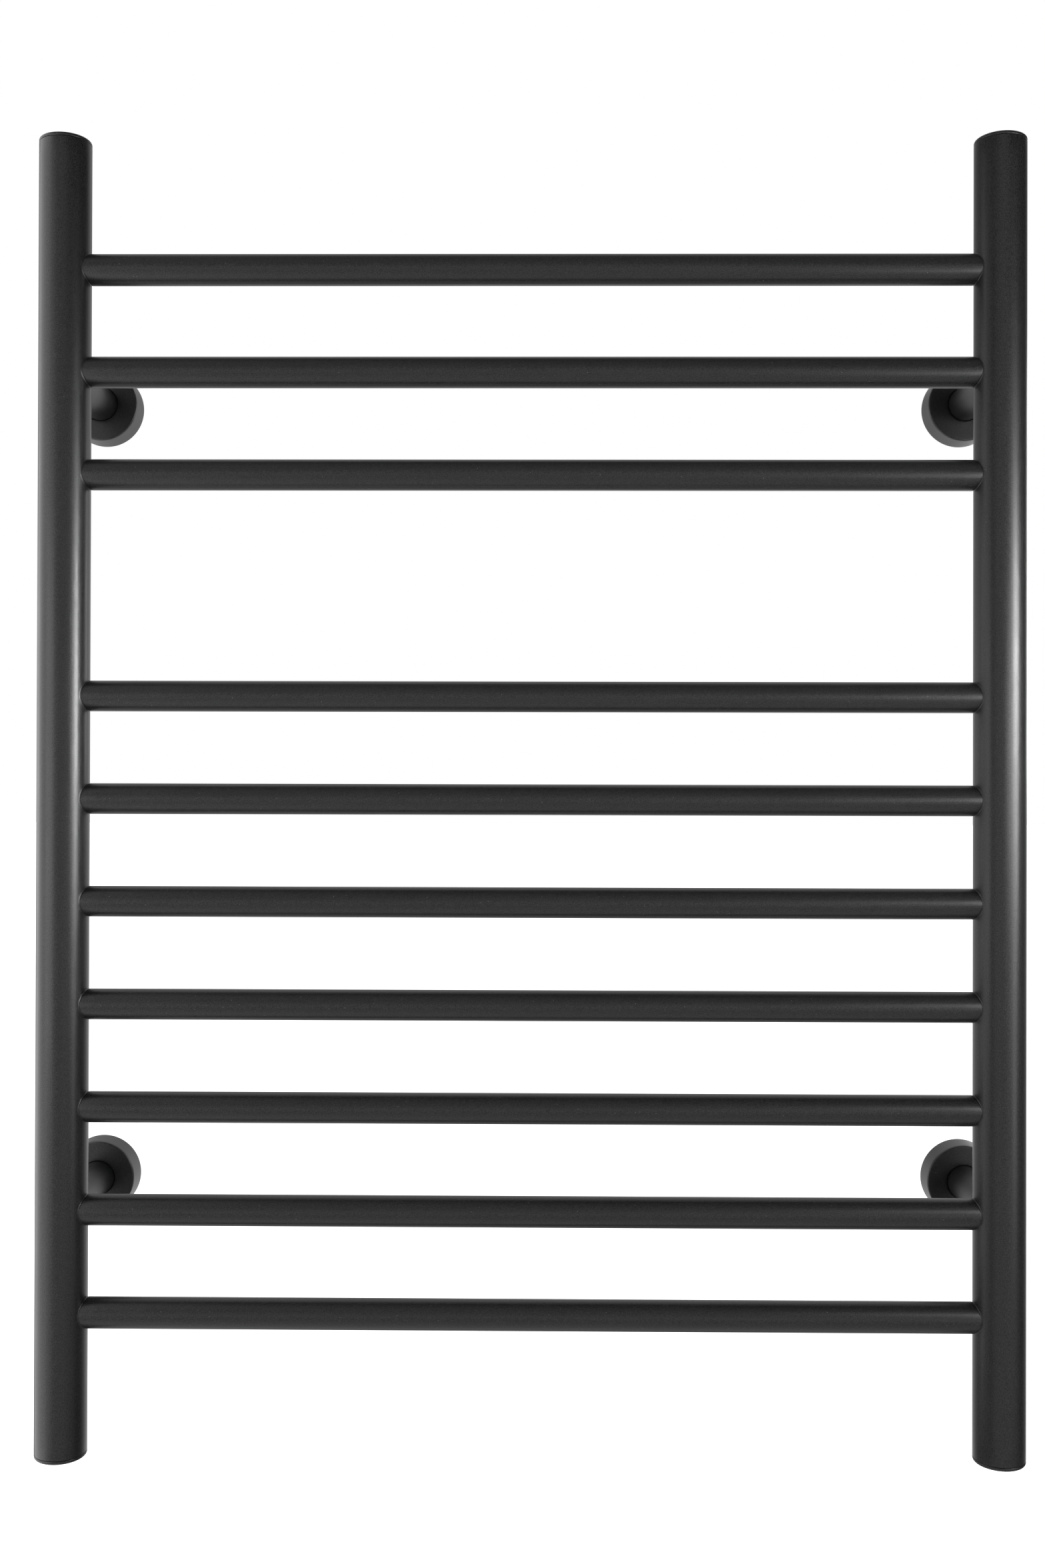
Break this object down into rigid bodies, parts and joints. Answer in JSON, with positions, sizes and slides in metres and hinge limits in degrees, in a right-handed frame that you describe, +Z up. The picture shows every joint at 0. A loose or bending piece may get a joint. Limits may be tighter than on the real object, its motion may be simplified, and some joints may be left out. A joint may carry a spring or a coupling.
{
  "type": "towel warmer rack",
  "caption": "Wall-mounted electric towel warmer: two black round uprights joined by round bars in two groups, on four stand-off brackets with sliding cover cups.",
  "frame": {"origin": "centre of the four wall brackets, on the wall plane", "axes": "+Z up, +X along the bars to the right as seen from the front, +Y into the wall; the rack's front faces -Y"},
  "size_m": [0.6282, 0.1109, 0.813],
  "materials": {
    "black_tube": "satin powder coat",
    "black_cap": "satin powder coat",
    "black_cup": "satin powder coat",
    "base_metal": "matte powder coat",
    "ring_rubber": "matte",
    "screw_steel": "plain",
    "cable_silicone": "matte silicone jacket",
    "cutout_plastic": "moulded",
    "sleeve_plastic": "heat-shrink",
    "tab_brass": "plain",
    "grommet_rubber": "matte"
  },
  "bodies": {
    "rack": {"left_upright": "black_tube", "right_upright": "black_tube", "bar_01": "black_tube", "bar_02": "black_tube", "bar_03": "black_tube", "bar_04": "black_tube", "bar_05": "black_tube", "bar_06": "black_tube", "bar_07": "black_tube", "bar_08": "black_tube", "bar_09": "black_tube", "bar_10": "black_tube", "end_cap_top_left": "black_cap", "end_cap_top_right": "black_cap", "end_cap_bottom_left": "black_cap", "end_cap_bottom_right": "black_cap", "post_upper_left": "black_tube", "post_upper_right": "black_tube", "post_lower_left": "black_tube", "post_lower_right": "black_tube", "wall_base_upper_left": "base_metal", "wall_base_upper_right": "base_metal", "wall_base_lower_left": "base_metal", "wall_base_lower_right": "base_metal", "grub_screws": "screw_steel", "heating_cable": "cable_silicone", "thermal_cutout": "cutout_plastic", "splice_sleeves": "sleeve_plastic", "earth_tab": "tab_brass", "lead_grommet": "grommet_rubber"},
    "cup_upper_left": {"cover_cup_upper_left": "black_cup", "cup_ring_upper_left": "ring_rubber"},
    "cup_upper_right": {"cover_cup_upper_right": "black_cup", "cup_ring_upper_right": "ring_rubber"},
    "cup_lower_left": {"cover_cup_lower_left": "black_cup", "cup_ring_lower_left": "ring_rubber"},
    "cup_lower_right": {"cover_cup_lower_right": "black_cup", "cup_ring_lower_right": "ring_rubber"}
  },
  "joints": [
    {"name": "cup_slide_upper_left", "type": "slide", "parent": "rack", "child": "cup_upper_left", "axis": [0, -1, 0], "range_m": [0, 0.058]},
    {"name": "cup_slide_upper_right", "type": "slide", "parent": "rack", "child": "cup_upper_right", "axis": [0, -1, 0], "range_m": [0, 0.058]},
    {"name": "cup_slide_lower_left", "type": "slide", "parent": "rack", "child": "cup_lower_left", "axis": [0, -1, 0], "range_m": [0, 0.058]},
    {"name": "cup_slide_lower_right", "type": "slide", "parent": "rack", "child": "cup_lower_right", "axis": [0, -1, 0], "range_m": [0, 0.058]}
  ]
}
